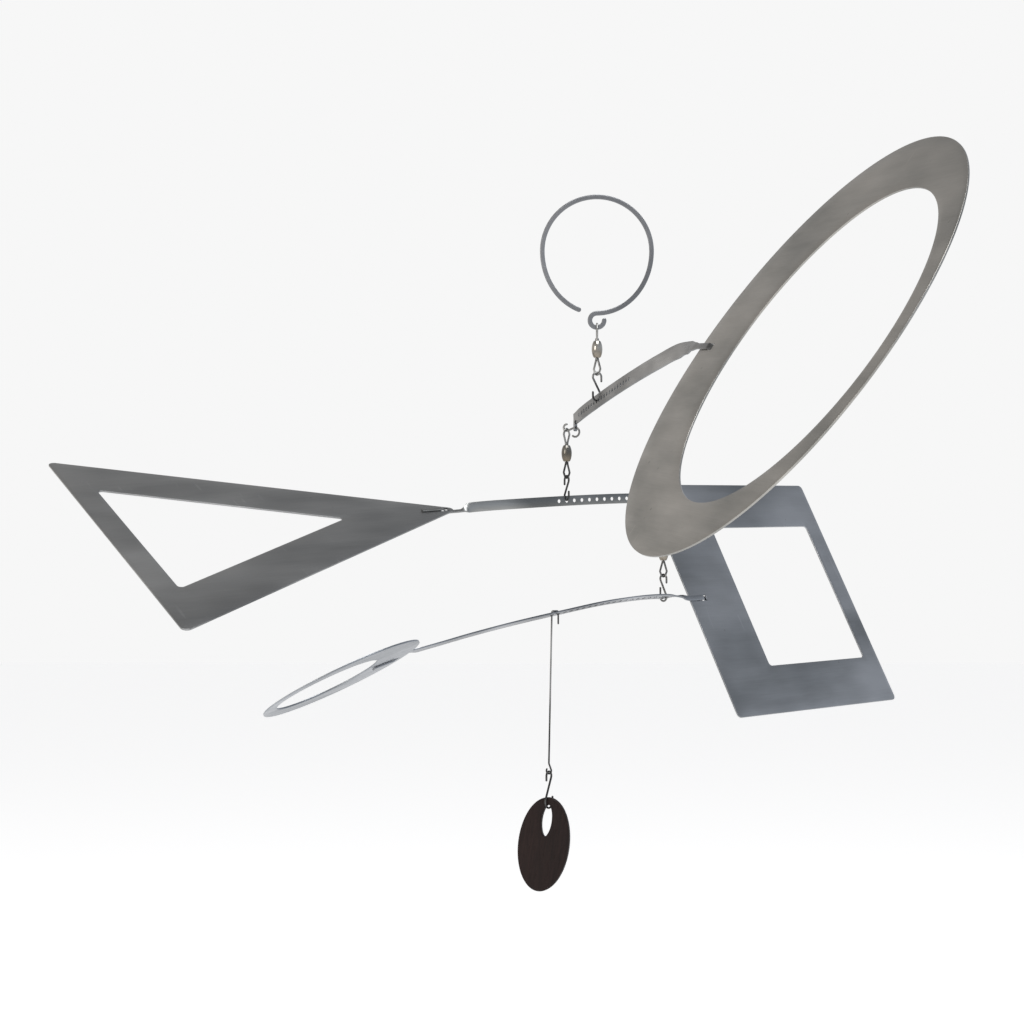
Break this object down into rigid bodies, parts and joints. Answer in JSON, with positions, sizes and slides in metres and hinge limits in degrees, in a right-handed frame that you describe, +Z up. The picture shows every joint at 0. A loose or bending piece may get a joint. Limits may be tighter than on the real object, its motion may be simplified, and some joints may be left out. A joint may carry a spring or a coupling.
{
  "type": "hanging mobile",
  "caption": "Hanging mobile of perforated steel arms on barrel swivels, carrying cut-out hoop, triangle, square and small ring plates and an oval wooden pendant.",
  "frame": {"origin": "inside top of the hanging ring, the point the mobile hangs by", "axes": "+Z up; the hanging ring stands in the XZ plane and opens towards -Y, the round plate hangs towards -Y and the square plate towards +Y"},
  "size_m": [0.6819, 0.8096, 0.5244],
  "materials": {
    "brushed_steel": "brushed",
    "steel_wire": "drawn wire, bright",
    "plated_brass": "nickel plated",
    "dark_wood": "oiled, satin"
  },
  "bodies": {
    "hanger": {"hanging_ring": "brushed_steel", "swivel_1_upper_eye": "steel_wire", "swivel_1_barrel": "plated_brass"},
    "upper": {"swivel_1_lower_eye": "steel_wire", "upper_arm_hook": "steel_wire", "upper_arm": "brushed_steel", "hoop_plate": "brushed_steel", "link_hook": "steel_wire", "swivel_2_upper_eye": "steel_wire", "swivel_2_barrel": "plated_brass"},
    "middle": {"swivel_2_lower_eye": "steel_wire", "middle_arm_hook": "steel_wire", "middle_arm": "brushed_steel", "triangle_plate": "brushed_steel", "drop_hook": "steel_wire", "swivel_3_upper_eye": "steel_wire", "swivel_3_barrel": "plated_brass"},
    "lower": {"swivel_3_lower_eye": "steel_wire", "lower_arm_hook": "steel_wire", "lower_arm": "brushed_steel", "square_plate": "brushed_steel", "small_ring_plate": "brushed_steel", "pendulum_wire": "steel_wire", "pendant_hook": "steel_wire", "wooden_pendant": "dark_wood"}
  },
  "joints": [
    {"name": "swivel_1_turn", "type": "hinge", "parent": "hanger", "child": "upper", "pos_m": [0, 0, -0.1204], "axis": [0, 0, 1], "continuous": true},
    {"name": "swivel_2_turn", "type": "hinge", "parent": "upper", "child": "middle", "pos_m": [-0.0213, 0.06271, -0.1944], "axis": [0, 0, 1], "range_deg": [-70, 60]},
    {"name": "swivel_3_turn", "type": "hinge", "parent": "middle", "child": "lower", "pos_m": [0.05732, 0.10451, -0.2711], "axis": [0, 0, 1], "range_deg": [-180, 90]}
  ]
}
